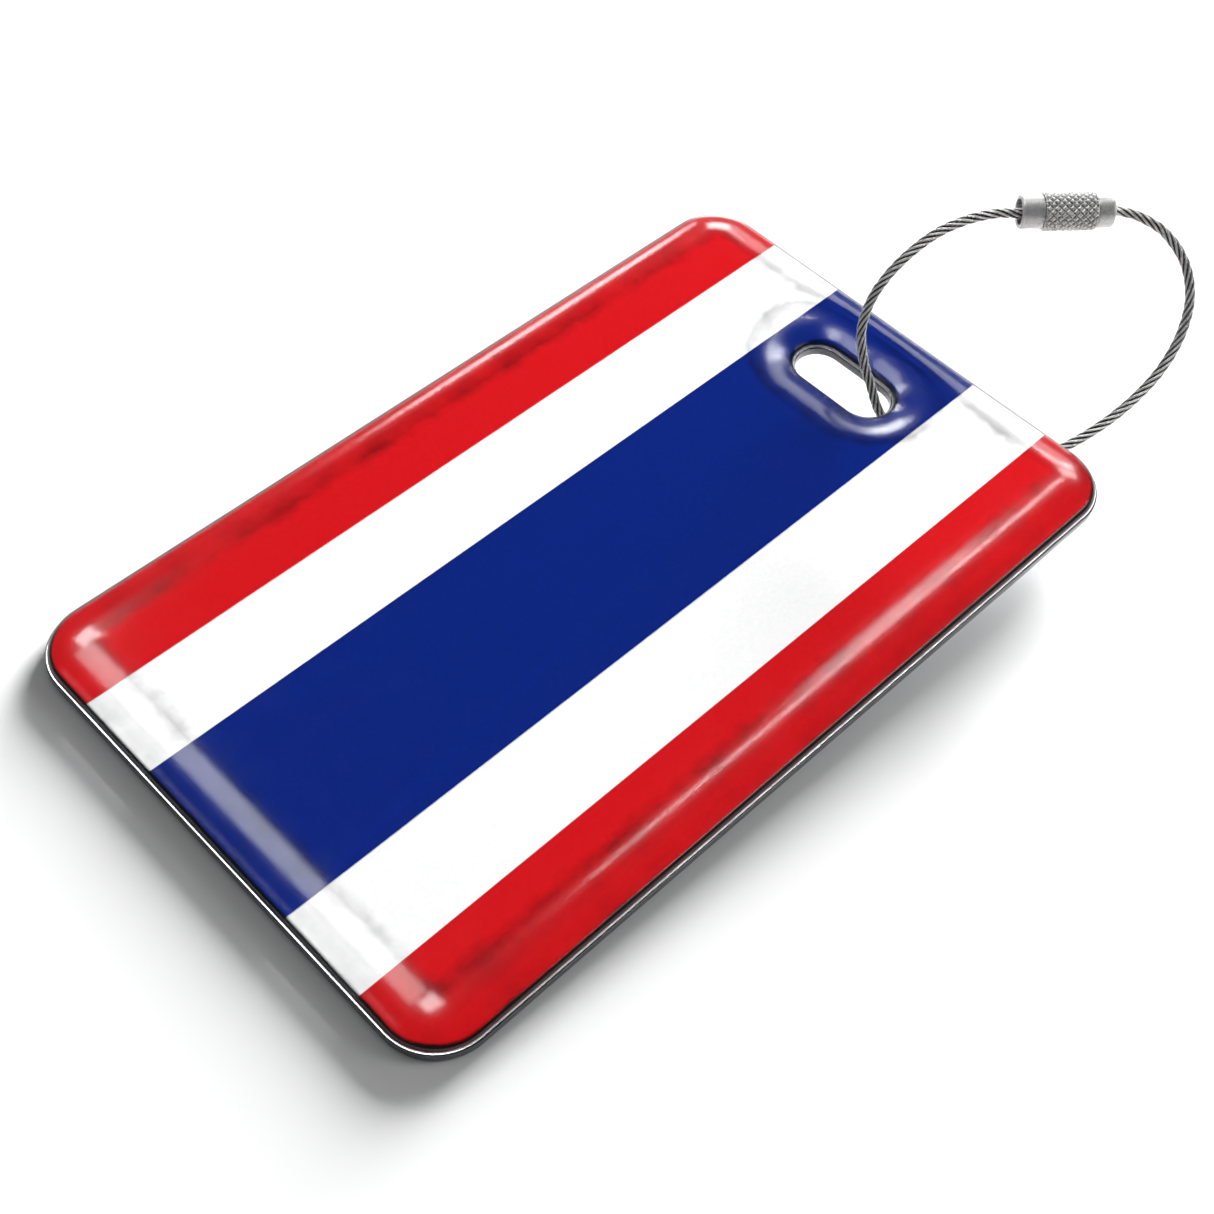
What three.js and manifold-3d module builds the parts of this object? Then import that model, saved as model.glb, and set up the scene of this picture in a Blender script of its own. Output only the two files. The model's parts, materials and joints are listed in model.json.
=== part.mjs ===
// A domed luggage tag on a wire-rope loop with a screw clasp.
// Millimetres, +Z up. The tag lies on a table at z = 0, held up at its slotted end by the
// wire that runs under it, so the whole tag is tilted by a small angle.

import * as THREE from 'three';
import { mergeVertices } from 'three/addons/utils/BufferGeometryUtils.js';
import Module from 'manifold-3d';

const wasm = await Module();
wasm.setup();

// ---- Driving dimensions ------------------------------------------------------------------

const TAG_LENGTH = 87;
const TAG_WIDTH = 54;
const TAG_CORNER = 5.5;
const PLATE_THICKNESS = 1.0;
const PLATE_CHAMFER = 0.15;
const CURVE_SEGMENTS = 6;

const SLOT_LENGTH = 11;
const SLOT_WIDTH = 5;
const SLOT_CENTRE_X = 33.8;

const GLUE_THICKNESS = 0.04;
const SHEET_THICKNESS = 0.08;
const INK_THICKNESS = 0.03;
const LAYER_GAP = 0.015;
const PRINT_INSET = 0.25;
const BAND = TAG_WIDTH / 6;

const DOME_EDGE = 0.3;
const DOME_RISE = 1.45;
const DOME_SHOULDER = 4.5;
const DOME_STEPS = [0, 0.35, 0.8, 1.4, 2.2, 3.2, DOME_SHOULDER];
const CORNER_DIVISIONS = 6;
const SLOT_DIVISIONS = 10;

const LABEL_LENGTH = 56;
const LABEL_WIDTH = 36;
const LABEL_CORNER = 2;
const LABEL_X = -6;
const RULES_MARGIN = 3;
const RULE_WIDTH = 0.35;
const RULE_ROWS = 4;

const WIRE_DIAMETER = 1.0;
const WIRE_STEPS = 64;
const WIRE_SIDES = 8;

// The clasp. Lengths are measured along it from the barrel's open end.
const CLASP_LENGTH = 9.05;
const COLLAR_RADIUS = 1.6;
const EDGE_ROUND = 0.15;

const BARREL_LENGTH = 7.3;
const BARREL_COLLAR = 2.2;
const BORE_RADIUS = 1.25;
const BORE_DEPTH = 1.2;
const WEB_END = 1.8;
const WEB_HOLE = 0.8;
const CHAMBER_RADIUS = 1.15;
const KNURL_RADIUS = 1.85;
const KNURL_DEPTH = 0.14;
const KNURL_TEETH = 16;
const KNURL_ROWS = 14;

const STUD_TIP = 4.5;
const STUD_COLLAR = BARREL_LENGTH + 0.06;
const STUD_SIDES = 24;
const THREAD_END = STUD_COLLAR - 0.1;
const THREAD_PITCH = 0.5;
const THREAD_RADIUS = 1.05;
const THREAD_DEPTH = 0.16;
const THREAD_ROWS_PER_TURN = 6;
const WIRE_SOCKET = { radius: 0.65, depth: 1.0 };

const FERRULE = { start: 2.3, end: 3.8, innerRadius: 0.58, outerRadius: 1.0, chamfer: 0.1, sides: 20 };

// How the loop stands on the tag: where it passes through the slot, the plan direction in
// which it runs on under the tag, and how far it leans out from upright.
const LOOP_PIVOT = new THREE.Vector3(35.1, -3.1, 0.8);
const LOOP_HEADING = THREE.MathUtils.degToRad(-59);
const LOOP_LEAN = THREE.MathUtils.degToRad(38);

// The lowest point of the wire, in the tag's own frame: it sets the tilt of the tag.
const WIRE_LOW_X = 37.5;
const WIRE_LOW_Z = -3.67;
const TAG_TILT = Math.atan2(-WIRE_LOW_Z, WIRE_LOW_X + TAG_LENGTH / 2);

// ---- Materials ---------------------------------------------------------------------------

function finish(color, roughness, metalness) {
  return new THREE.MeshStandardMaterial({ color, roughness, metalness });
}

const plateMetal = finish(0xb9bbbe, 0.32, 1.0);
const steel = finish(0xa9aaa8, 0.35, 1.0);
const whiteSheet = finish(0xf6f6f4, 0.5, 0.0);
const redInk = finish(0xdd1118, 0.4, 0.0);
const blueInk = finish(0x00217f, 0.4, 0.0);
const darkInk = finish(0x33363b, 0.6, 0.0);
const paper = finish(0xf1f0ea, 0.8, 0.0);
const glue = finish(0xd9d6c8, 0.7, 0.0);
const clearResin = new THREE.MeshStandardMaterial({
  color: 0xf3f6f8, roughness: 0.04, metalness: 0.0, transparent: true, opacity: 0.25,
});

// ---- Solid helpers -----------------------------------------------------------------------

function toSolid(geometry) {
  const bare = geometry.clone();
  bare.deleteAttribute('normal');
  bare.deleteAttribute('uv');
  const welded = mergeVertices(bare, 1e-4);
  return new wasm.Manifold(new wasm.Mesh({
    numProp: 3,
    vertProperties: new Float32Array(welded.attributes.position.array),
    triVerts: new Uint32Array(welded.index.array),
  }));
}

function toGeometry(solid) {
  const mesh = solid.getMesh();
  const geometry = new THREE.BufferGeometry();
  geometry.setAttribute('position', new THREE.BufferAttribute(mesh.vertProperties, 3));
  geometry.setIndex(new THREE.BufferAttribute(mesh.triVerts, 1));
  geometry.computeVertexNormals();
  return geometry;
}

function piece(name, geometry, material) {
  const mesh = new THREE.Mesh(geometry, material);
  mesh.name = name;
  return mesh;
}

// ---- Outlines ----------------------------------------------------------------------------

const RIGHT = 0;
const UP = Math.PI / 2;
const LEFT = Math.PI;
const DOWN = Math.PI * 1.5;

/** A rectangle with round corners, centred on (x, y). */
function roundedRectangle(length, width, corner, x = 0, y = 0) {
  const alongX = length / 2 - corner;
  const alongY = width / 2 - corner;
  const shape = new THREE.Shape();
  shape.absarc(x + alongX, y + alongY, corner, RIGHT, UP);
  shape.absarc(x - alongX, y + alongY, corner, UP, LEFT);
  shape.absarc(x - alongX, y - alongY, corner, LEFT, DOWN);
  shape.absarc(x + alongX, y - alongY, corner, DOWN, 2 * Math.PI);
  shape.closePath();
  return shape;
}

/** The slot's outline, made larger all round by `grow`. */
function slotOutline(grow = 0) {
  const radius = SLOT_WIDTH / 2 + grow;
  const reach = (SLOT_LENGTH - SLOT_WIDTH) / 2;
  const shape = new THREE.Shape();
  shape.absarc(SLOT_CENTRE_X, reach, radius, RIGHT, LEFT);
  shape.absarc(SLOT_CENTRE_X, -reach, radius, LEFT, 2 * Math.PI);
  shape.closePath();
  return shape;
}

/** The tag's outline drawn in by `inset` at its edge and at the slot. */
function tagOutline(inset = 0) {
  const shape = roundedRectangle(TAG_LENGTH - 2 * inset, TAG_WIDTH - 2 * inset, TAG_CORNER - inset);
  shape.holes.push(slotOutline(inset));
  return shape;
}

function slab(shape, bottom, thickness) {
  const geometry = new THREE.ExtrudeGeometry(shape, {
    depth: thickness, bevelEnabled: false, curveSegments: CURVE_SEGMENTS,
  });
  return geometry.translate(0, 0, bottom);
}

// ---- The tag: plate, print, bands, resin -------------------------------------------------

function makePlate() {
  const geometry = new THREE.ExtrudeGeometry(tagOutline(), {
    depth: PLATE_THICKNESS - 2 * PLATE_CHAMFER,
    bevelThickness: PLATE_CHAMFER,
    bevelSize: PLATE_CHAMFER,
    bevelOffset: -PLATE_CHAMFER,
    bevelSegments: 1,
    curveSegments: CURVE_SEGMENTS,
  });
  geometry.translate(0, 0, PLATE_CHAMFER);
  return piece('plate', geometry, plateMetal);
}

const GLUE_Z = PLATE_THICKNESS + LAYER_GAP;
const SHEET_Z = GLUE_Z + GLUE_THICKNESS + LAYER_GAP;
const INK_Z = SHEET_Z + SHEET_THICKNESS + LAYER_GAP;
const DOME_Z = INK_Z + INK_THICKNESS + LAYER_GAP;

/** One coloured band of the print, between two places across the tag's width. */
function makeBand(name, fromY, toY, material) {
  const whole = toSolid(slab(tagOutline(PRINT_INSET), INK_Z, INK_THICKNESS));
  const window = new THREE.BoxGeometry(TAG_LENGTH, toY - fromY, 1);
  window.translate(0, (fromY + toY) / 2, INK_Z);
  return piece(name, toGeometry(whole.intersect(toSolid(window))), material);
}

/** Height of the resin's surface over its base, at a distance in from its edge. */
function domeHeight(inset) {
  const left = 1 - Math.min(inset / DOME_SHOULDER, 1);
  return DOME_EDGE + DOME_RISE * (1 - left ** 3);
}

/** A closed solid through a stack of rings that all have the same number of points. */
function loft(rings) {
  const count = rings[0].length;
  const positions = rings.flat().flatMap((point) => [point.x, point.y, point.z]);
  const triangles = [];
  const flatBottom = THREE.ShapeUtils.triangulateShape(rings[0], []);
  const flatTop = THREE.ShapeUtils.triangulateShape(rings.at(-1), []);
  const topStart = (rings.length - 1) * count;
  for (const [a, b, c] of flatBottom) {
    triangles.push(c, b, a);
  }
  for (const [a, b, c] of flatTop) {
    triangles.push(topStart + a, topStart + b, topStart + c);
  }
  for (let ring = 0; ring < rings.length - 1; ring += 1) {
    for (let i = 0; i < count; i += 1) {
      const here = ring * count + i;
      const next = ring * count + (i + 1) % count;
      triangles.push(here, next, next + count);
      triangles.push(here, next + count, here + count);
    }
  }
  const geometry = new THREE.BufferGeometry();
  geometry.setAttribute('position', new THREE.Float32BufferAttribute(positions, 3));
  geometry.setIndex(triangles);
  return geometry;
}

function ringAt(shape, divisions, z) {
  const points = shape.getPoints(divisions);
  const closed = points.filter((point, i) => point.distanceTo(points.at(i - 1)) > 1e-6);
  return closed.map((point) => new THREE.Vector3(point.x, point.y, z));
}

/** The clear cap: high and flat in the middle, rounding down to its edge and to the slot. */
function makeResin() {
  const pillowRing = (edge, z) => {
    const shape = roundedRectangle(TAG_LENGTH - 2 * edge, TAG_WIDTH - 2 * edge, TAG_CORNER - edge);
    return ringAt(shape, CORNER_DIVISIONS, z);
  };
  const pillow = [
    pillowRing(PRINT_INSET, DOME_Z),
    ...DOME_STEPS.map((inset) => pillowRing(PRINT_INSET + inset, DOME_Z + domeHeight(inset))),
  ];

  // What the slot takes away: a plug that flares out above the resin as its edge rounds down.
  const margin = 1;
  const flareRing = (grow, z) => ringAt(slotOutline(PRINT_INSET + grow), SLOT_DIVISIONS, z);
  const flare = [
    flareRing(0, DOME_Z - margin),
    ...DOME_STEPS.map((inset) => flareRing(inset, DOME_Z + domeHeight(inset))),
    flareRing(DOME_SHOULDER + margin, DOME_Z + domeHeight(DOME_SHOULDER) + margin),
  ];

  const solid = toSolid(loft(pillow)).subtract(toSolid(loft(flare)));
  return piece('resin_dome', toGeometry(solid), clearResin);
}

// ---- The back: a write-on label ----------------------------------------------------------

/** A frame with a ruled line between its rows, in one piece. */
function rulesOutline() {
  const length = LABEL_LENGTH - 2 * RULES_MARGIN;
  const width = LABEL_WIDTH - 2 * RULES_MARGIN;
  const shape = roundedRectangle(length, width, LABEL_CORNER, LABEL_X);

  const pitch = (width - RULE_WIDTH) / RULE_ROWS;
  const clearLength = length - 2 * RULE_WIDTH;
  const clearWidth = pitch - RULE_WIDTH;
  for (let row = 0; row < RULE_ROWS; row += 1) {
    const middle = -width / 2 + RULE_WIDTH / 2 + pitch * (row + 0.5);
    const corner = LABEL_CORNER - RULE_WIDTH;
    shape.holes.push(roundedRectangle(clearLength, clearWidth, corner, LABEL_X, middle));
  }
  return shape;
}

function makeLabelPieces() {
  const outline = roundedRectangle(LABEL_LENGTH, LABEL_WIDTH, LABEL_CORNER, LABEL_X);
  const glueZ = -LAYER_GAP - GLUE_THICKNESS;
  const paperZ = glueZ - LAYER_GAP - SHEET_THICKNESS;
  const inkZ = paperZ - LAYER_GAP - INK_THICKNESS;
  return [
    piece('label_adhesive', slab(outline, glueZ, GLUE_THICKNESS), glue),
    piece('write_on_label', slab(outline, paperZ, SHEET_THICKNESS), paper),
    piece('label_rules', slab(rulesOutline(), inkZ, INK_THICKNESS), darkInk),
  ];
}

// ---- The clasp: barrel, stud, ferrule ----------------------------------------------------

// The barrel's open end and the clasp's direction, in the loop's frame: x along the loop's
// heading, y square to its plane, z up the plane.
const CLASP_LEFT = new THREE.Vector3(9.15, -1.0, 20.0);
const CLASP_AXIS = new THREE.Vector3(0.954, 0.22, 0.206).normalize();

function onClaspAxis(distance) {
  return CLASP_LEFT.clone().addScaledVector(CLASP_AXIS, distance);
}

/** A turned part: outline points as [radius, distance along the clasp]. */
function turned(outline, sides) {
  return new THREE.LatheGeometry(outline.map(([r, y]) => new THREE.Vector2(r, y)), sides);
}

/** Moves a turned part's surface vertices: `radiusAt(turn, y, r)` gives the new radius. */
function reshape(geometry, radiusAt) {
  const position = geometry.attributes.position;
  for (let i = 0; i < position.count; i += 1) {
    const x = position.getX(i);
    const y = position.getY(i);
    const z = position.getZ(i);
    const r = Math.hypot(x, z);
    const turn = Math.atan2(x, z) / (2 * Math.PI);
    const scale = r > 0 ? radiusAt(turn, y, r) / r : 1;
    position.setX(i, x * scale);
    position.setZ(i, z * scale);
  }
  geometry.computeVertexNormals();
  return geometry;
}

/** The knurled barrel: an open collar, a web that the wire passes, then a threaded chamber. */
function makeBarrel() {
  const knurlStart = BARREL_COLLAR + EDGE_ROUND;
  const knurlEnd = BARREL_LENGTH - EDGE_ROUND;
  const rowPitch = (knurlEnd - knurlStart) / KNURL_ROWS;
  const knurl = Array.from({ length: KNURL_ROWS + 1 }, (_, row) => (
    [KNURL_RADIUS, knurlStart + row * rowPitch]
  ));
  const outline = [
    [COLLAR_RADIUS - EDGE_ROUND, 0],
    [COLLAR_RADIUS, EDGE_ROUND],
    [COLLAR_RADIUS, BARREL_COLLAR],
    ...knurl,
    [COLLAR_RADIUS, BARREL_LENGTH],
    [CHAMBER_RADIUS, BARREL_LENGTH],
    [CHAMBER_RADIUS, WEB_END],
    [WEB_HOLE, WEB_END],
    [WEB_HOLE, BORE_DEPTH],
    [BORE_RADIUS, BORE_DEPTH],
    [BORE_RADIUS, 0],
    [COLLAR_RADIUS - EDGE_ROUND, 0],
  ];
  const sides = 2 * KNURL_TEETH;
  const geometry = reshape(turned(outline, sides), (turn, y, r) => {
    const row = Math.round((y - knurlStart) / rowPitch);
    const side = Math.round(turn * sides);
    const onKnurl = r > COLLAR_RADIUS + EDGE_ROUND;
    const inValley = (row + side) % 2 !== 0;
    return onKnurl && inValley ? KNURL_RADIUS - KNURL_DEPTH : r;
  });
  return piece('barrel', geometry, steel);
}

/** The stud crimped on the wire's other end: a right-hand screw thread and a smooth collar. */
function makeStud() {
  const threadLength = THREAD_END - STUD_TIP;
  const rows = Math.round(threadLength / THREAD_PITCH * THREAD_ROWS_PER_TURN);
  const thread = Array.from({ length: rows + 1 }, (_, row) => (
    [THREAD_RADIUS, STUD_TIP + row / rows * threadLength]
  ));
  const outline = [
    [0, STUD_TIP],
    ...thread,
    [THREAD_RADIUS, STUD_COLLAR],
    [COLLAR_RADIUS - EDGE_ROUND, STUD_COLLAR],
    [COLLAR_RADIUS, STUD_COLLAR + EDGE_ROUND],
    [COLLAR_RADIUS, CLASP_LENGTH - 2 * EDGE_ROUND],
    [COLLAR_RADIUS - 0.6 * EDGE_ROUND, CLASP_LENGTH - 0.6 * EDGE_ROUND],
    [COLLAR_RADIUS - 2 * EDGE_ROUND, CLASP_LENGTH],
    [WIRE_SOCKET.radius, CLASP_LENGTH],
    [WIRE_SOCKET.radius, CLASP_LENGTH - WIRE_SOCKET.depth],
    [0, CLASP_LENGTH - WIRE_SOCKET.depth],
  ];
  const slack = 0.001;
  const geometry = reshape(turned(outline, STUD_SIDES), (turn, y, r) => {
    const onThread = y < THREAD_END + slack && r > THREAD_RADIUS - slack;
    const phase = (y - STUD_TIP) / THREAD_PITCH - turn;
    const fromCrest = Math.abs(phase - Math.round(phase)) * 2;
    return onThread ? r - THREAD_DEPTH * fromCrest : r;
  });
  return piece('threaded_stud', geometry, steel);
}

/** The sleeve crimped on the wire's end inside the barrel, which the web can't pass. */
function makeFerrule() {
  const { start, end, innerRadius, outerRadius, chamfer, sides } = FERRULE;
  const outline = [
    [innerRadius, start],
    [outerRadius - chamfer, start],
    [outerRadius, start + chamfer],
    [outerRadius, end],
    [innerRadius, end],
    [innerRadius, start],
  ];
  return piece('stop_ferrule', turned(outline, sides), steel);
}

function makeClasp() {
  const clasp = new THREE.Group();
  clasp.position.copy(CLASP_LEFT);
  clasp.quaternion.setFromUnitVectors(new THREE.Vector3(0, 1, 0), CLASP_AXIS);
  clasp.add(makeBarrel(), makeStud(), makeFerrule());
  return clasp;
}

// ---- The wire rope -----------------------------------------------------------------------

// From the ferrule, out of the barrel, down through the slot, under the tag and round past
// its corner up to the stud, as [along, across, up] in the loop's frame.
const WIRE_ROUTE = [
  [9.1, -1.0, 19.85],
  [7.2, -1.35, 19.45],
  [4.8, -1.35, 18.4],
  [2.4, -1.05, 16.7],
  [0.4, -0.75, 14.5],
  [-1.4, -0.45, 11.7],
  [-2.5, -0.2, 8.8],
  [-2.7, -0.1, 5.8],
  [-1.8, 0, 3.0],
  [-0.5, 0, 0.7],
  [0.9, 0, -1.6],
  [3.3, 0, -3.6],
  [6.3, 0, -4.7],
  [9.6, 0, -5.0],
  [12.9, 0, -4.6],
  [16.0, 0, -3.3],
  [18.9, 0, -1.2],
  [21.6, 0, 1.4],
  [24.0, 0, 4.5],
  [25.9, 0.05, 8.0],
  [26.9, 0.2, 11.6],
  [26.9, 0.4, 15.2],
  [25.6, 0.65, 18.4],
  [23.1, 0.85, 20.8],
  [20.4, 1.0, 21.8],
];

function makeWire() {
  const route = [
    onClaspAxis(4.2),
    onClaspAxis(2.9),
    onClaspAxis(1.5),
    ...WIRE_ROUTE.map((point) => new THREE.Vector3(...point)),
    onClaspAxis(CLASP_LENGTH + 0.3),
    onClaspAxis(CLASP_LENGTH - 0.7),
  ];
  const path = new THREE.CatmullRomCurve3(route, false, 'catmullrom', 0.5);
  const section = new THREE.Shape();
  section.absarc(0, 0, WIRE_DIAMETER / 2, 0, 2 * Math.PI);
  const octagon = new THREE.Shape(section.getSpacedPoints(WIRE_SIDES).slice(0, WIRE_SIDES));
  const geometry = new THREE.ExtrudeGeometry(octagon, { steps: WIRE_STEPS, extrudePath: path });
  return piece('wire_rope', geometry, steel);
}

// ---- Assembly ----------------------------------------------------------------------------

function makeLoop() {
  const leaning = new THREE.Group();
  leaning.rotation.x = -LOOP_LEAN;
  leaning.add(makeWire(), makeClasp());

  const loop = new THREE.Group();
  loop.position.copy(LOOP_PIVOT);
  loop.rotation.z = LOOP_HEADING;
  loop.add(leaning);
  return loop;
}

const printOutline = tagOutline(PRINT_INSET);
const tag = new THREE.Group();
tag.add(
  makePlate(),
  piece('print_adhesive', slab(printOutline, GLUE_Z, GLUE_THICKNESS), glue),
  piece('printed_sheet', slab(printOutline, SHEET_Z, SHEET_THICKNESS), whiteSheet),
  makeBand('red_band_far', 2 * BAND, 3 * BAND, redInk),
  makeBand('blue_band', -BAND, BAND, blueInk),
  makeBand('red_band_near', -3 * BAND, -2 * BAND, redInk),
  makeResin(),
  ...makeLabelPieces(),
  makeLoop(),
);
tag.rotation.y = -TAG_TILT;
tag.position.z = (TAG_LENGTH / 2) * Math.sin(TAG_TILT);

export default tag;
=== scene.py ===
import json
import math
from itertools import zip_longest

import bpy
from mathutils import Matrix, Vector

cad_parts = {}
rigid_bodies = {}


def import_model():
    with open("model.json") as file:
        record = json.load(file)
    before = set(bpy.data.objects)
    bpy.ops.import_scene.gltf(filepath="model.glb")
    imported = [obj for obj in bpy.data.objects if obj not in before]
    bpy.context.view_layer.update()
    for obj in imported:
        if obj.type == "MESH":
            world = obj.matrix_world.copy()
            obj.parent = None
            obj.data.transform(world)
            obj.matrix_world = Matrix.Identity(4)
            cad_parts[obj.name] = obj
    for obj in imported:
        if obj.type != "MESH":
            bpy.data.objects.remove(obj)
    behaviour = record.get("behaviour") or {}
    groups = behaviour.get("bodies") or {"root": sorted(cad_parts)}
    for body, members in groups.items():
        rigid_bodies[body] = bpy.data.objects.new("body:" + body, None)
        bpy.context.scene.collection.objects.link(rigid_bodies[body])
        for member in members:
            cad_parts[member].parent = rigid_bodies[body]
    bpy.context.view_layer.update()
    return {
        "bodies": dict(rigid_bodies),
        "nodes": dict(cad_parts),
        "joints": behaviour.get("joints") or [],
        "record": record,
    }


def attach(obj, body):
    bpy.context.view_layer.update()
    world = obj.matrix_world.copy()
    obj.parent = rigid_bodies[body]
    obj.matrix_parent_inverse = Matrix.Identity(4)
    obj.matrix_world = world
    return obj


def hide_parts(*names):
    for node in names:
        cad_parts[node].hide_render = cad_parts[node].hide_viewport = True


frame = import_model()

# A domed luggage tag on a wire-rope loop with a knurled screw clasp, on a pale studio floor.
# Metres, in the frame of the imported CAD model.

MM = 0.001

# ---- Driving dimensions, as in the CAD model ---------------------------------------------

TAG_LENGTH = 87 * MM
TAG_WIDTH = 54 * MM
TAG_CORNER = 5.5 * MM
PLATE_THICKNESS = 1.0 * MM

SLOT_LENGTH = 11 * MM
SLOT_WIDTH = 5 * MM
SLOT_X = 33.8 * MM

GLUE = 0.04 * MM
SHEET = 0.08 * MM
INK = 0.03 * MM
LAYER_GAP = 0.015 * MM
PRINT_INSET = 0.25 * MM
BAND = TAG_WIDTH / 6

DOME_EDGE = 0.3 * MM
DOME_RISE = 1.45 * MM
DOME_ROLL = 0.45 * MM
DOME_SHOULDER = 8 * MM
DOME_FULLNESS = 4
SLOT_SHOULDER = 6 * MM
SLOT_FULLNESS = 2.4

LABEL_LENGTH = 56 * MM
LABEL_WIDTH = 36 * MM
LABEL_CORNER = 2 * MM
LABEL_X = -6 * MM

WIRE_LOW_X = 37.5 * MM
WIRE_LOW_Z = -3.67 * MM
TAG_TILT = math.atan2(-WIRE_LOW_Z, WIRE_LOW_X + TAG_LENGTH / 2)

LOOP_PIVOT = Vector((35.1, -3.1, 0.8)) * MM
LOOP_HEADING = math.radians(-59)
LOOP_LEAN = math.radians(38)

CLASP_LENGTH = 9.05 * MM
COLLAR_RADIUS = 1.6 * MM
BARREL_LENGTH = 7.3 * MM
BARREL_COLLAR = 2.2 * MM
KNURL_RADIUS = 1.85 * MM
KNURL_DEPTH = 0.15 * MM
KNURL_COUNT = 16
BORE_RADIUS = 1.25 * MM
BORE_DEPTH = 1.2 * MM
WEB_END = 1.8 * MM
WEB_HOLE = 0.8 * MM
CHAMBER_RADIUS = 1.15 * MM
STUD_TIP = 4.5 * MM
THREAD_RADIUS = 1.05 * MM
THREAD_DEPTH = 0.2 * MM
THREAD_PITCH = 0.5 * MM

WIRE_DIAMETER = 1.0 * MM
STRANDS = 6
STRAND_RADIUS = 0.135 * WIRE_DIAMETER
ROPE_LAY = 6.2 * MM
STRAND_LAY = 2.9 * MM
ROPE_STEP = 0.25 * MM
ROPE_GROOVE = 0.36 * WIRE_DIAMETER

# Far below any size that shows, for comparing sizes.
HAIR = 0.001 * MM

# ---- Frames: the tilted tag, the leaning loop and the clasp in it ------------------------

tag_frame = (
    Matrix.Translation((0, 0, TAG_LENGTH / 2 * math.sin(TAG_TILT)))
    @ Matrix.Rotation(-TAG_TILT, 4, "Y")
)
loop_frame = (
    tag_frame
    @ Matrix.Translation(LOOP_PIVOT)
    @ Matrix.Rotation(LOOP_HEADING, 4, "Z")
    @ Matrix.Rotation(-LOOP_LEAN, 4, "X")
)
barrel_joint = next(j for j in frame["joints"] if j["name"] == "barrel_turn")
clasp_start = Vector(barrel_joint["pos_m"])
clasp_axis = -Vector(barrel_joint["axis"]).normalized()
clasp_frame = (
    Matrix.Translation(clasp_start)
    @ Vector((0, 0, 1)).rotation_difference(clasp_axis).to_matrix().to_4x4()
)

# ---- Camera ------------------------------------------------------------------------------

CAMERA_PLACE = Vector((-0.0790, -0.0677, 0.1276))
CAMERA_FORWARD = Vector((0.4772, 0.3988, -0.7831))
CAMERA_UP = Vector((0.5128, 0.5973, 0.6166))
CAMERA_LENS = 52.86
CAMERA_SENSOR = 36


def make_camera():
    data = bpy.data.cameras.new("camera")
    data.sensor_width = CAMERA_SENSOR
    data.lens = CAMERA_LENS
    data.clip_start = 0.005
    camera = bpy.data.objects.new("camera", data)
    back = -CAMERA_FORWARD.normalized()
    right = CAMERA_UP.cross(back).normalized()
    up = back.cross(right)
    turn = Matrix((right, up, back)).transposed().to_4x4()
    camera.matrix_world = Matrix.Translation(CAMERA_PLACE) @ turn
    bpy.context.scene.collection.objects.link(camera)
    bpy.context.scene.camera = camera


make_camera()

# ---- Mesh helpers ------------------------------------------------------------------------


def spaced(start, end, count):
    """Numbers from start to end in `count` equal steps."""
    return [start + (end - start) * i / count for i in range(count + 1)]


def make_piece(name, points, faces, place, material, smooth=True):
    """A mesh from points in the frame `place`, with its vertices in the row frame."""
    mesh = bpy.data.meshes.new(name)
    mesh.from_pydata([place @ Vector(p) for p in points], [], faces)
    mesh.materials.append(material)
    mesh.validate()
    mesh.polygons.foreach_set("use_smooth", [smooth] * len(mesh.polygons))
    mesh.update()
    piece = bpy.data.objects.new(name, mesh)
    bpy.context.scene.collection.objects.link(piece)
    return piece


def grid_faces(rows, columns, close_rows=False):
    """Quads between rows of points, each row closed on itself."""
    faces = []
    for row in range(rows if close_rows else rows - 1):
        after = (row + 1) % rows
        for column in range(columns):
            beside = (column + 1) % columns
            faces.append((
                row * columns + column,
                row * columns + beside,
                after * columns + beside,
                after * columns + column,
            ))
    return faces


def sharpen(piece, degrees=35):
    """Keeps edges sharper than an angle crisp on a smooth piece."""
    piece.data.set_sharp_from_angle(angle=math.radians(degrees))
    return piece


# ---- Materials ---------------------------------------------------------------------------


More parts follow.
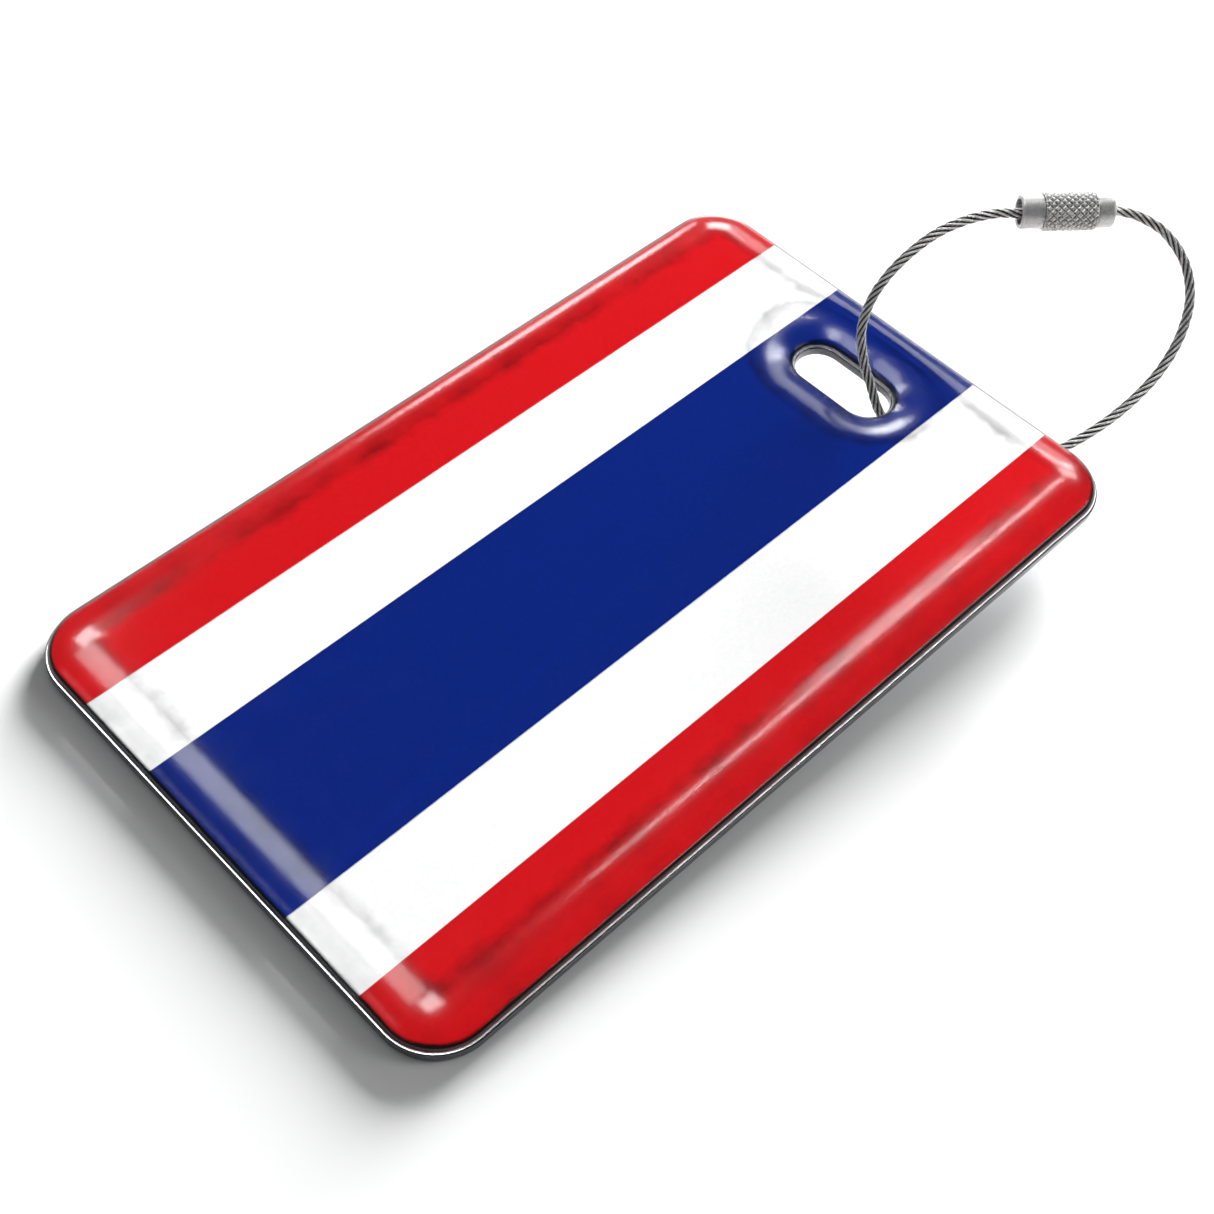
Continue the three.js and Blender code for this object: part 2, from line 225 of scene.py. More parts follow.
class Finish:
    """A node material with helpers for procedural detail in the row frame's metres."""

    def __init__(self, name):
        self.material = bpy.data.materials.new(name)
        self.material.use_nodes = True
        self.tree = self.material.node_tree
        self.shader = self.tree.nodes["Principled BSDF"]
        self.output = self.tree.nodes["Material Output"]
        self.coordinates = self.tree.nodes.new("ShaderNodeTexCoord")

    def node(self, kind, **inputs):
        made = self.tree.nodes.new(kind)
        for name, value in inputs.items():
            made.inputs[name.replace("_", " ")].default_value = value
        return made

    def link(self, source, target):
        self.tree.links.new(source, target)

    def noise(self, size, stretch=(1, 1, 1), detail=3.0):
        """Noise whose features are about `size` metres, longer along a stretched axis."""
        mapping = self.node("ShaderNodeMapping")
        mapping.inputs["Scale"].default_value = [1 / (size * s) for s in stretch]
        self.link(self.coordinates.outputs["Object"], mapping.inputs["Vector"])
        noise = self.node("ShaderNodeTexNoise", Scale=1.0, Detail=detail)
        self.link(mapping.outputs["Vector"], noise.inputs["Vector"])
        return noise.outputs["Fac"]

    def spread(self, source, low, high, start=0.3, end=0.7):
        """Maps a source's start..end range to low..high."""
        ranged = self.node("ShaderNodeMapRange")
        ranged.inputs["From Min"].default_value = start
        ranged.inputs["From Max"].default_value = end
        ranged.inputs["To Min"].default_value = low
        ranged.inputs["To Max"].default_value = high
        self.link(source, ranged.inputs["Value"])
        return ranged.outputs["Result"]

    def value(self, number):
        made = self.tree.nodes.new("ShaderNodeValue")
        made.outputs[0].default_value = number
        return made.outputs[0]

    def math(self, operation, *sources):
        made = self.tree.nodes.new("ShaderNodeMath")
        made.operation = operation
        for number, source in enumerate(sources):
            self.link(source, made.inputs[number])
        return made.outputs[0]

    def blend(self, source, first, second):
        """A colour that runs from first to second as a source goes from 0 to 1."""
        mix = self.node("ShaderNodeMix")
        mix.data_type = "RGBA"
        for colour, socket in ((first, "A"), (second, "B")):
            if isinstance(colour, tuple):
                mix.inputs[socket].default_value = (*colour, 1)
            else:
                self.link(colour, mix.inputs[socket])
        self.link(source, mix.inputs["Factor"])
        return mix.outputs["Result"]

    def tint(self, source, dark, light, start=0.3, end=0.7):
        """A colour that runs from dark to light with a source."""
        ramp = self.node("ShaderNodeValToRGB")
        ramp.color_ramp.elements[0].position = start
        ramp.color_ramp.elements[0].color = (*dark, 1)
        ramp.color_ramp.elements[1].position = end
        ramp.color_ramp.elements[1].color = (*light, 1)
        self.link(source, ramp.inputs["Fac"])
        self.link(ramp.outputs["Color"], self.shader.inputs["Base Color"])
        return ramp.outputs["Color"]

    def roughness(self, source, low, high):
        self.link(self.spread(source, low, high), self.shader.inputs["Roughness"])

    def bump(self, source, depth, strength=1.0):
        bump = self.node("ShaderNodeBump", Strength=strength, Distance=depth)
        self.link(source, bump.inputs["Height"])
        self.link(bump.outputs["Normal"], self.shader.inputs["Normal"])
        return bump.outputs["Normal"]


def make_ink(name, dark, light):
    """Solid print under resin: faint mottling, and no gloss of its own."""
    ink = Finish(name)
    ink.tint(ink.noise(0.35 * MM, detail=5), dark, light)
    ink.shader.inputs["Roughness"].default_value = 0.9
    ink.shader.inputs["Specular IOR Level"].default_value = 0.0
    return ink.material


def make_plate_metal():
    """Satin metal with a grain that runs along the tag."""
    metal = Finish("plate_metal")
    metal.shader.inputs["Metallic"].default_value = 1.0
    grain = metal.noise(0.12 * MM, stretch=(40, 1, 1), detail=4)
    metal.tint(grain, (0.52, 0.53, 0.55), (0.74, 0.75, 0.77))
    metal.roughness(metal.noise(3 * MM), 0.24, 0.4)
    metal.bump(grain, 0.01 * MM, strength=0.5)
    return metal.material


def make_shaded_edge_metal():
    """The plate's cut edge, rounded by tumbling; its dark colour is painted shade for the dark
    surroundings it mirrors.
    """
    metal = Finish("shaded_edge_metal")
    metal.shader.inputs["Metallic"].default_value = 1.0
    grain = metal.noise(0.1 * MM, detail=4)
    metal.tint(grain, (0.07, 0.07, 0.075), (0.2, 0.2, 0.21))
    metal.roughness(metal.noise(2 * MM), 0.12, 0.25)
    metal.bump(grain, 0.01 * MM, strength=0.3)
    return metal.material


# A mesh attribute: 0 in the grooves between the rope's strands and 1 on their crowns; the steel
# gets painted shade towards 0.
ROPE_CROWN = "rope_crown"


def make_steel(name, grain_size, dark, light, roughness, metallic, crown=None):
    """Steel with a fine grain, and painted shade where its surface is hollow.

    `crown` names a mesh attribute that says where it isn't hollow.
    """
    steel = Finish(name)
    steel.shader.inputs["Metallic"].default_value = metallic
    grain = steel.noise(grain_size, detail=5)
    bright = steel.tint(grain, dark, light)
    # Painted shade: the colour runs to near-black in hollows, from the rope's groove attribute or
    # from the surface's pointiness.
    if crown:
        depth = steel.tree.nodes.new("ShaderNodeAttribute")
        depth.attribute_name = crown
        out_of_painted_shade = steel.spread(depth.outputs["Fac"], 0, 1, start=0.1, end=0.8)
    else:
        pointed = steel.node("ShaderNodeNewGeometry").outputs["Pointiness"]
        out_of_painted_shade = steel.spread(pointed, 0, 1, start=0.44, end=0.51)
    steel.link(steel.blend(out_of_painted_shade, (0.02, 0.02, 0.02), bright), steel.shader.inputs["Base Color"])
    steel.roughness(steel.noise(grain_size * 6), *roughness)
    steel.bump(grain, 0.01 * MM, strength=0.4)
    return steel.material


# How much of the print a slope of the resin hides under painted shade, by the slope's angle in
# degrees.
RESIN_SLOPE_SHADE = [
    (0, 0.0), (1.5, 0.0), (4, 0.38), (8, 0.24), (18, 0.1), (30, 0.2), (38, 0.75), (46, 1.0),
]

# The painted dark line along the resin's rims: 1 at a rim and 0 this far in from it.
RIM_SHADE = "rim_shade"
EDGE_SHADE_WIDTH = 1.0 * MM
SLOT_SHADE_WIDTH = 1.6 * MM

# Share of the lamps' light that the resin keeps from the floor.
RESIN_SHADOW = 0.8


def resin_steepness(resin, geometry):
    """How far the resin slopes from the tag's plane: 1 at the last angle of the painted slope
    shade table.
    """
    level = resin.node("ShaderNodeVectorMath")
    level.operation = "DOT_PRODUCT"
    resin.link(geometry.outputs["Normal"], level.inputs[0])
    level.inputs[1].default_value = tag_frame.to_3x3() @ Vector((0, 0, 1))
    slope = resin.math("ARCCOSINE", level.outputs["Value"])
    mottle = resin.spread(resin.noise(1.6 * MM, detail=5), -0.012, 0.012)
    steepest = math.radians(RESIN_SLOPE_SHADE[-1][0])
    return resin.spread(resin.math("ADD", slope, mottle), 0, 1, start=0, end=steepest)


def resin_slope_shade(resin, steepness):
    """Painted shade on the slopes, in patches."""
    slope_shade_ramp = resin.node("ShaderNodeValToRGB")
    stops = slope_shade_ramp.color_ramp.elements
    steepest = RESIN_SLOPE_SHADE[-1][0]
    for degrees, hidden in RESIN_SLOPE_SHADE[1:-1]:
        stops.new(degrees / steepest)
    for stop, (degrees, hidden) in zip(stops, RESIN_SLOPE_SHADE):
        stop.position = degrees / steepest
        stop.color = (hidden, hidden, hidden, 1)
    resin.link(steepness, slope_shade_ramp.inputs["Fac"])
    patches = resin.spread(resin.noise(4 * MM, detail=6), 0.3, 1.5)
    return resin.math("MULTIPLY", slope_shade_ramp.outputs["Color"], patches)


def resin_rim_line(resin):
    """The painted dark line along the rims, wider where the resin turns away from the eye."""
    rim = resin.tree.nodes.new("ShaderNodeAttribute")
    rim.attribute_name = RIM_SHADE
    grazing = resin.tree.nodes.new("ShaderNodeLayerWeight").outputs["Facing"]
    oblique = resin.spread(grazing, 0, 0.5, start=0, end=1)
    return resin.spread(resin.math("ADD", rim.outputs["Fac"], oblique), 0, 1, start=0.5, end=0.8)


def make_resin():
    """Clear resin's skin: it mirrors by its angle, and the print shows through it.

    Its slopes bend the view towards the dark rim; that is painted into its see-through colour as
    shade on the slopes and rims.
    From outside it lets little of the lamps' light through to the floor, so its full height casts
    a shadow.
    """
    resin = Finish("clear_resin")
    normal = resin.bump(resin.noise(14 * MM, detail=1), 0.05 * MM, strength=0.2)
    geometry = resin.node("ShaderNodeNewGeometry")
    outside = resin.spread(geometry.outputs["Backfacing"], 1, 0, start=0, end=1)
    steepness = resin_steepness(resin, geometry)

    # Painted shade: the see-through colour darkens on the slopes and along the rims.
    painted_slope_and_rim_shade = resin.math("MAXIMUM", resin_slope_shade(resin, steepness), resin_rim_line(resin))
    shadow = resin.node("ShaderNodeLightPath").outputs["Is Shadow Ray"]
    shaded = resin.math("MULTIPLY", shadow, resin.value(RESIN_SHADOW))
    hidden = resin.math("MULTIPLY", resin.math("MAXIMUM", painted_slope_and_rim_shade, shaded), outside)
    clear = resin.node("ShaderNodeBsdfTransparent")
    resin.link(resin.blend(hidden, (0.99, 0.99, 0.99), (0.01, 0.01, 0.012)), clear.inputs["Color"])

    gloss = resin.node("ShaderNodeBsdfGlossy", Color=(1, 1, 1, 1))
    resin.link(normal, gloss.inputs["Normal"])
    haze = resin.spread(steepness, 0.11, 0.2, start=0.05, end=0.4)
    uneven = resin.spread(resin.noise(3 * MM, detail=4), -0.01, 0.03)
    resin.link(resin.math("ADD", haze, uneven), gloss.inputs["Roughness"])

    fresnel = resin.node("ShaderNodeFresnel", IOR=1.5)
    resin.link(normal, fresnel.inputs["Normal"])
    mix = resin.node("ShaderNodeMixShader")
    resin.link(resin.math("MULTIPLY", fresnel.outputs["Fac"], outside), mix.inputs[0])
    resin.link(clear.outputs[0], mix.inputs[1])
    resin.link(gloss.outputs[0], mix.inputs[2])
    resin.link(mix.outputs[0], resin.output.inputs["Surface"])
    return resin.material


def make_resin_bond():
    """The resin's flat underside, wetted on to the print, so nothing mirrors there."""
    bond = Finish("resin_bond")
    clear = bond.node("ShaderNodeBsdfTransparent")
    streaks = bond.noise(5 * MM, detail=2)
    bond.link(bond.blend(streaks, (1, 1, 1), (0.99, 0.99, 0.99)), clear.inputs["Color"])
    bond.link(clear.outputs[0], bond.output.inputs["Surface"])
    return bond.material


def make_adhesive():
    """Milky adhesive film."""
    adhesive = Finish("adhesive")
    adhesive.tint(adhesive.noise(0.8 * MM), (0.62, 0.6, 0.5), (0.8, 0.78, 0.7))
    adhesive.roughness(adhesive.noise(0.5 * MM), 0.5, 0.8)
    return adhesive.material


def make_label_film():
    """Matte film that takes a pen."""
    film = Finish("label_film")
    fibres = film.noise(0.15 * MM, stretch=(4, 1, 1), detail=6)
    film.tint(fibres, (0.82, 0.81, 0.77), (0.9, 0.89, 0.86))
    film.roughness(film.noise(2 * MM), 0.7, 0.9)
    film.bump(fibres, 0.01 * MM, strength=0.4)
    return film.material


def make_floor_paint():
    """A pale matte sweep."""
    paint = Finish("floor")
    paint.tint(paint.noise(60 * MM), (0.81, 0.81, 0.81), (0.83, 0.83, 0.83))
    paint.shader.inputs["Roughness"].default_value = 0.9
    paint.shader.inputs["Specular IOR Level"].default_value = 0.1
    return paint.material


plate_metal = make_plate_metal()
shaded_edge_metal = make_shaded_edge_metal()
wire_steel = make_steel(
    "wire_steel", 0.3 * MM, (0.8, 0.8, 0.79), (0.98, 0.98, 0.97), (0.2, 0.32), 0.6,
    crown=ROPE_CROWN,
)
# The core strand is painted near-black: painted shade seen in the gaps between the strands.
core_in_painted_shade = make_steel(
    "core_in_painted_shade", 0.3 * MM, (0.02, 0.02, 0.018), (0.06, 0.06, 0.055), (0.5, 0.7), 0.5
)
turned_steel = make_steel(
    "turned_steel", 0.2 * MM, (0.5, 0.5, 0.495), (0.68, 0.68, 0.67), (0.34, 0.46), 0.4
)
white_print = make_ink("white_print", (0.84, 0.84, 0.84), (0.89, 0.89, 0.89))
red_print = make_ink("red_print", (0.54, 0.0035, 0.006), (0.58, 0.005, 0.009))
blue_print = make_ink("blue_print", (0.0, 0.0115, 0.155), (0.0005, 0.014, 0.18))
dark_print = make_ink("dark_print", (0.03, 0.034, 0.04), (0.06, 0.065, 0.07))
clear_resin = make_resin()
resin_bond = make_resin_bond()
adhesive = make_adhesive()
label_film = make_label_film()

# ---- The wire rope -----------------------------------------------------------------------

# The route that the CAD model has, as (along, across, up) in the loop's frame.
CLASP_LEFT = Vector((9.15, -1.0, 20.0)) * MM
CLASP_IN_LOOP = Vector((0.954, 0.22, 0.206)).normalized()


def on_clasp(distance):
    return CLASP_LEFT + CLASP_IN_LOOP * distance


WIRE_ROUTE = [Vector(p) * MM for p in (
    (9.1, -1.0, 19.85),
    (7.2, -1.35, 19.45),
    (4.8, -1.35, 18.4),
    (2.4, -1.05, 16.7),
    (0.4, -0.75, 14.5),
    (-1.4, -0.45, 11.7),
    (-2.5, -0.2, 8.8),
    (-2.7, -0.1, 5.8),
    (-1.8, 0, 3.0),
    (-0.5, 0, 0.7),
    (0.9, 0, -1.6),
    (3.3, 0, -3.6),
    (6.3, 0, -4.7),
    (9.6, 0, -5.0),
    (12.9, 0, -4.6),
    (16.0, 0, -3.3),
    (18.9, 0, -1.2),
    (21.6, 0, 1.4),
    (24.0, 0, 4.5),
    (25.9, 0.05, 8.0),
    (26.9, 0.2, 11.6),
    (26.9, 0.4, 15.2),
    (25.6, 0.65, 18.4),
    (23.1, 0.85, 20.8),
    (20.4, 1.0, 21.8),
)]
ROUTE = (
    [on_clasp(4.2 * MM), on_clasp(2.9 * MM), on_clasp(1.5 * MM)]
    + WIRE_ROUTE
    + [on_clasp(CLASP_LENGTH + 0.3 * MM), on_clasp(CLASP_LENGTH - 0.7 * MM)]
)


def smooth_line(route, steps_between=40):
    """A Catmull-Rom curve through the route's points."""
    first = route[0] * 2 - route[1]
    last = route[-1] * 2 - route[-2]
    points = [first, *route, last]
    line = []
    for i in range(1, len(points) - 2):
        before, a, b, after = points[i - 1:i + 3]
        for step in range(steps_between):
            t = step / steps_between
            line.append(
                a
                + (b - before) * (0.5 * t)
                + (before * 2 - a * 5 + b * 4 - after) * (0.5 * t ** 2)
                + (a * 3 - before - b * 3 + after) * (0.5 * t ** 3)
            )
    line.append(route[-1])
    return line


def respaced(line, spacing):
    """The same line with evenly spaced points."""
    travelled = [0.0]
    for a, b in zip(line, line[1:]):
        travelled.append(travelled[-1] + (b - a).length)
    count = round(travelled[-1] / spacing)
    points = []
    i = 0
    for k in range(count + 1):
        target = travelled[-1] * k / count
        while i < len(line) - 2 and travelled[i + 1] < target:
            i += 1
        share = (target - travelled[i]) / (travelled[i + 1] - travelled[i])
        points.append(line[i].lerp(line[i + 1], min(share, 1.0)))
    return points, travelled[-1]


def frames_along(line):
    """Two directions square to the line at each point, carried along it without twist."""
    ahead = [(line[min(i + 1, len(line) - 1)] - line[max(i - 1, 0)]).normalized()
             for i in range(len(line))]
    side = ahead[0].orthogonal().normalized()
    frames = []
    for direction in ahead:
        side = (side - direction * side.dot(direction)).normalized()
        frames.append((side, direction.cross(side)))
    return frames


def beside(point, frame, radius, turn):
    """The point at a distance from a line's point, so many turns round the line."""
    side, other = frame
    angle = 2 * math.pi * turn
    return point + side * (radius * math.cos(angle)) + other * (radius * math.sin(angle))


def wound_round(line, frames, spacing, radius, lay, start_turn):
    """A helix round a line. A positive lay is right-handed."""
    return [
        beside(point, frame, radius, start_turn + i * spacing / lay)
        for i, (point, frame) in enumerate(zip(line, frames))
    ]


def add_tube(points, faces, line, frames, radius, sides):
    """Adds a closed tube along a line to the lists of points and faces."""
    base = len(points)
    for point, frame in zip(line, frames):
        points += [beside(point, frame, radius, k / sides) for k in range(sides)]
    for face in grid_faces(len(line), sides):
        faces.append(tuple(base + i for i in face))
    faces.append(tuple(base + i for i in reversed(range(sides))))
    faces.append(tuple(base + (len(line) - 1) * sides + i for i in range(sides)))


def make_rope():
    """Six strands laid right-handed round a core strand, each of six wires round its middle."""
    line, length = respaced(smooth_line(ROUTE), ROPE_STEP)
    spacing = length / (len(line) - 1)
    frames = frames_along(line)
    strand_place = WIRE_DIAMETER / 2 - STRAND_RADIUS
    core_radius = strand_place - STRAND_RADIUS * 0.8
    wire_radius = STRAND_RADIUS / 3
    wire_sides = 5

    points, faces = [], []
    add_tube(points, faces, line, frames, core_radius, sides=8)
    core_faces = len(faces)
    crowns = [0.0] * len(points)
    centres = [point for point in line for side in range(wire_sides)]
    for strand in range(STRANDS):
        strand_line = wound_round(
            line, frames, spacing, strand_place, ROPE_LAY, strand / STRANDS
        )
        strand_frames = frames_along(strand_line)
        for wire in range(6):
            wire_line = wound_round(
                strand_line, strand_frames, spacing, 2 * wire_radius, -STRAND_LAY, wire / 6
            )
            wire_start = len(points)
            wire_frames = frames_along(wire_line)
            add_tube(points, faces, wire_line, wire_frames, wire_radius * 1.04, wire_sides)
            crowns += [
                ((point - centre).length - ROPE_GROOVE) / (WIRE_DIAMETER / 2 - ROPE_GROOVE)
                for point, centre in zip(points[wire_start:], centres)
            ]

    rope = make_piece("wire_rope_strands", points, faces, loop_frame, wire_steel)
    crown = rope.data.attributes.new(ROPE_CROWN, "FLOAT", "POINT")
    crown.data.foreach_set("value", crowns)
    rope.data.materials.append(core_in_painted_shade)
    for polygon in rope.data.polygons[:core_faces]:
        polygon.material_index = 1
    return rope, [loop_frame @ point for point in line], length


rope, rope_line, rope_length = make_rope()
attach(rope, "loop")
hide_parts("wire_rope")

# ---- Turned clasp parts ------------------------------------------------------------------


def turned_piece(name, outline, sides, material, radius_at=None):
    """A closed turned part from [radius, distance] points, its radius shaped by radius_at."""
    points = []
    for radius, distance in outline:
        for k in range(sides):
            turn = k / sides
            r = radius_at(radius, distance, turn) if radius_at else radius
            angle = 2 * math.pi * turn
            points.append((r * math.cos(angle), r * math.sin(angle), distance))
    faces = grid_faces(len(outline), sides, close_rows=True)
    return make_piece(name, points, faces, clasp_frame, material)


def rounded(centre_r, centre_z, radius, from_degrees, to_degrees, steps=5):
    """An arc of an outline. 0 degrees points outwards and 90 along the clasp."""
    angles = [math.radians(a) for a in spaced(from_degrees, to_degrees, steps)]
    return [(centre_r + radius * math.cos(a), centre_z + radius * math.sin(a)) for a in angles]


def ridge(position):
    """0 in a groove and 1 on the ridge between two grooves."""
    return 2 * abs(position - math.floor(position) - 0.5)


def make_barrel():
    """The barrel: a faintly turned collar, a diamond knurl, and its bore and chamber."""
    runout = 0.12 * MM
    step = 0.02 * MM
    lip = 0.18 * MM
    inner_lip = 0.12 * MM
    chamfer = 0.06 * MM
    groove_radius = KNURL_RADIUS - KNURL_DEPTH
    end_radius = COLLAR_RADIUS - 0.05 * MM
    row = 2 * math.pi * KNURL_RADIUS / KNURL_COUNT

    def knurled(radius, distance, turn):
        if radius < KNURL_RADIUS - HAIR:
            return radius
        climb = distance / row
        left = 1 - ridge(turn * KNURL_COUNT + climb)
        right = 1 - ridge(turn * KNURL_COUNT - climb)
        height = min(left * 1.5, right * 1.5, 1.0)
        return KNURL_RADIUS - KNURL_DEPTH * (1 - height)

    turning_marks = enumerate(spaced(0.3 * MM, BARREL_COLLAR - chamfer, 24))
    knurl_rings = spaced(BARREL_COLLAR + runout, BARREL_LENGTH - runout, 120)
    outline = [
        *rounded(COLLAR_RADIUS - lip, lip, lip, -90, 0),
        *[(COLLAR_RADIUS - step * (i % 2), z) for i, z in turning_marks],
        (end_radius, BARREL_COLLAR),
        (groove_radius, BARREL_COLLAR + step),
        *[(KNURL_RADIUS, z) for z in knurl_rings],
        (groove_radius, BARREL_LENGTH - step),
        (end_radius, BARREL_LENGTH),
        (CHAMBER_RADIUS + chamfer, BARREL_LENGTH),
        (CHAMBER_RADIUS, BARREL_LENGTH - chamfer),
        (CHAMBER_RADIUS, WEB_END),
        (WEB_HOLE, WEB_END),
        (WEB_HOLE, BORE_DEPTH),
        (BORE_RADIUS, BORE_DEPTH),
        *rounded(BORE_RADIUS + inner_lip, inner_lip, inner_lip, 180, 270),
    ]
    barrel = turned_piece("knurled_barrel", outline, 192, turned_steel, knurled)
    return sharpen(barrel, 40)


def make_stud():
    """The stud: a screw thread that fades in from its tip, and a collar with the rope's hole."""
    collar_start = BARREL_LENGTH + 0.06 * MM
    thread_end = collar_start - 0.1 * MM
    root = THREAD_RADIUS - THREAD_DEPTH
    chamfer = 0.1 * MM
    soft_edge = 0.08 * MM
    end_round = 0.42 * MM
    hole = 0.62 * MM
    hole_depth = 1.0 * MM
    tip_taper = 0.12 * MM

    def threaded(radius, distance, turn):
        if abs(radius - THREAD_RADIUS) > HAIR:
            return radius
        into_tip = min((distance - STUD_TIP) / THREAD_PITCH, 1)
        groove = 1 - ridge(distance / THREAD_PITCH - turn)
        depth = THREAD_DEPTH * (1 - min(groove * 1.2, 1.0))
        return radius - depth - tip_taper * (1 - into_tip)

    outline = [
        (0.0, STUD_TIP),
        *[(THREAD_RADIUS, z) for z in spaced(STUD_TIP, thread_end, 90)],
        (root, collar_start - 0.04 * MM),
        (root, collar_start),
        (COLLAR_RADIUS - chamfer, collar_start),
        *rounded(COLLAR_RADIUS - soft_edge, collar_start + soft_edge, soft_edge, -90, 0),
        *rounded(COLLAR_RADIUS - end_round, CLASP_LENGTH - end_round, end_round, 0, 80, steps=10),
        (hole + chamfer, CLASP_LENGTH),
        (hole, CLASP_LENGTH - chamfer),
        (hole, CLASP_LENGTH - hole_depth),
        (0.0, CLASP_LENGTH - hole_depth),
        (0.0, (STUD_TIP + CLASP_LENGTH) / 2),
    ]
    stud = turned_piece("screw_stud", outline, 96, turned_steel, threaded)
    return sharpen(stud, 50)


def make_ferrule():
    """The sleeve on the rope's end, pinched flat on three sides by the crimping tool."""
    start, end = 2.3 * MM, 3.8 * MM
    inner, outer = 0.72 * MM, 1.0 * MM
    chamfer = 0.1 * MM
    pinch = 0.12 * MM

    def crimped(radius, distance, turn):
        if radius < outer - HAIR:
            return radius
        across = max(0.0, math.cos(6 * math.pi * turn)) ** 4
        along = math.sin(math.pi * (distance - start) / (end - start)) ** 2
        return radius - pinch * across * along

    outline = [
        (inner, start),
        (outer - chamfer, start),
        *[(outer, z) for z in spaced(start + chamfer, end - chamfer, 20)],
        (outer - chamfer, end),
        (inner, end),
    ]
    ferrule = turned_piece("crimped_ferrule", outline, 60, turned_steel, crimped)
    return sharpen(ferrule)


barrel = make_barrel()
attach(barrel, "clasp_barrel")
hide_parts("barrel")

stud = make_stud()
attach(stud, "loop")
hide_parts("threaded_stud")

ferrule = make_ferrule()
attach(ferrule, "clasp_carriage")
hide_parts("stop_ferrule")

# ---- The tag: layers that all have the same outline and slot -----------------------------

ARC_STEPS = 14


def rounded_rectangle(length, width, corner, x=0.0, steps=ARC_STEPS, side_steps=(1, 1)):
    """Points and outward directions round a rectangle, anticlockwise from its +X side."""
    along_x = length / 2 - corner
    along_y = width / 2 - corner
    corners = [
        (along_x, along_y, 0),
        (-along_x, along_y, 90),
        (-along_x, -along_y, 180),
        (along_x, -along_y, 270),
    ]
    outline = []
    for number, (cx, cy, first) in enumerate(corners):
        for a in spaced(first, first + 90, steps):
            out = Vector((math.cos(math.radians(a)), math.sin(math.radians(a)), 0))
            outline.append((Vector((x + cx, cy, 0)) + out * corner, out))
        here, out = outline[-1]
        next_x, next_y = corners[(number + 1) % 4][:2]
        ahead = Vector((x + next_x, next_y, 0)) + out * corner
        divisions = side_steps[number % 2]
        for k in range(1, divisions):
            outline.append((here.lerp(ahead, k / divisions), out))
    return outline


def slot_point(direction, grow):
    """Where a ray from the slot's centre meets its outline, made larger by `grow`."""
    radius = SLOT_WIDTH / 2 + grow
    reach = (SLOT_LENGTH - SLOT_WIDTH) / 2
    across, along = abs(direction.x), abs(direction.y)
    if along * radius <= across * reach:
        distance = radius / across
    else:
        distance = reach * along + math.sqrt(radius ** 2 - (reach * across) ** 2)
    return Vector((SLOT_X + distance * direction.x, distance * direction.y, 0))


def slot_distance(point):
    """Distance of a point outside the slot from the slot's outline."""
    reach = (SLOT_LENGTH - SLOT_WIDTH) / 2
    nearest = Vector((SLOT_X, max(-reach, min(reach, point.y)), 0))
    return max((point - nearest).length - SLOT_WIDTH / 2, 0.0)


def layer_rings(outline, edge, rim, between=()):
    """Rings of points for a layer with the slot in it.

    `edge` is (inset, height) pairs up the outer edge, `rim` is (grow, height) pairs down the
    slot's edge, and `between` is the shares of the way from one to the other on top.
    """
    centre = Vector((SLOT_X, 0, 0))
    inner = [p - out * edge[-1][0] for p, out in outline]
    rays = [(p - centre).normalized() for p in inner]
    rings = [[(p - out * inset) + Vector((0, 0, z)) for p, out in outline] for inset, z in edge]
    first_rim = [slot_point(ray, rim[0][0]) for ray in rays]
    for share in between:
        rings.append([a.lerp(b, share) for a, b in zip(inner, first_rim)])
    rings += [[slot_point(ray, grow) + Vector((0, 0, z)) for ray in rays] for grow, z in rim]
    return rings


def make_layer(name, rings, material):
    """A closed solid through rings that run round the outside and back through the slot."""
    points = [p for ring in rings for p in ring]
    faces = grid_faces(len(rings), len(rings[0]), close_rows=True)
    return make_piece(name, points, faces, tag_frame, material)


tag_outline = rounded_rectangle(TAG_LENGTH, TAG_WIDTH, TAG_CORNER, side_steps=(30, 18))
print_outline = [(p - out * PRINT_INSET, out) for p, out in tag_outline]


def make_plate():
    """The metal plate, with its cut edges rounded by tumbling."""
    soft = 0.16 * MM
    top = PLATE_THICKNESS
    turn = [math.radians(a) for a in spaced(0, 90, 4)]
    low = [(soft * (1 - math.sin(a)), soft * (1 - math.cos(a))) for a in turn]
    high = [(inset, top - z) for inset, z in reversed(low)]
    edge = low + high
    rim = [(inset, top - z) for inset, z in low] + [(inset, z) for inset, z in reversed(low)]
    plate = make_layer("tag_plate", layer_rings(tag_outline, edge, rim), plate_metal)
    plate.data.materials.append(shaded_edge_metal)
    count = len(tag_outline)
    outer_wall = range(0, (len(edge) - 1) * count)
    slot_wall = range(len(edge) * count, (len(edge) + len(rim) - 1) * count)
    for number in (*outer_wall, *slot_wall):
        plate.data.polygons[number].material_index = 1
    return sharpen(plate, 60)


def make_sheet_layer(name, outline, bottom, thickness, material):
    """A thin flat layer with the slot through it."""
    edge = [(0.0, bottom), (0.0, bottom + thickness)]
    rim = [(PRINT_INSET, bottom + thickness), (PRINT_INSET, bottom)]
    return sharpen(make_layer(name, layer_rings(outline, edge, rim), material))


def make_plain_layer(name, outline, bottom, thickness, material):
    """A thin flat layer with no hole."""
    count = len(outline)
    points = [p + Vector((0, 0, z)) for z in (bottom, bottom + thickness) for p, out in outline]
    faces = grid_faces(2, count)
    faces.append(tuple(reversed(range(count))))
    faces.append(tuple(range(count, 2 * count)))
    return sharpen(make_piece(name, points, faces, tag_frame, material))


GLUE_Z = PLATE_THICKNESS + LAYER_GAP
SHEET_Z = GLUE_Z + GLUE + LAYER_GAP
INK_Z = SHEET_Z + SHEET + LAYER_GAP
DOME_Z = INK_Z + INK + LAYER_GAP


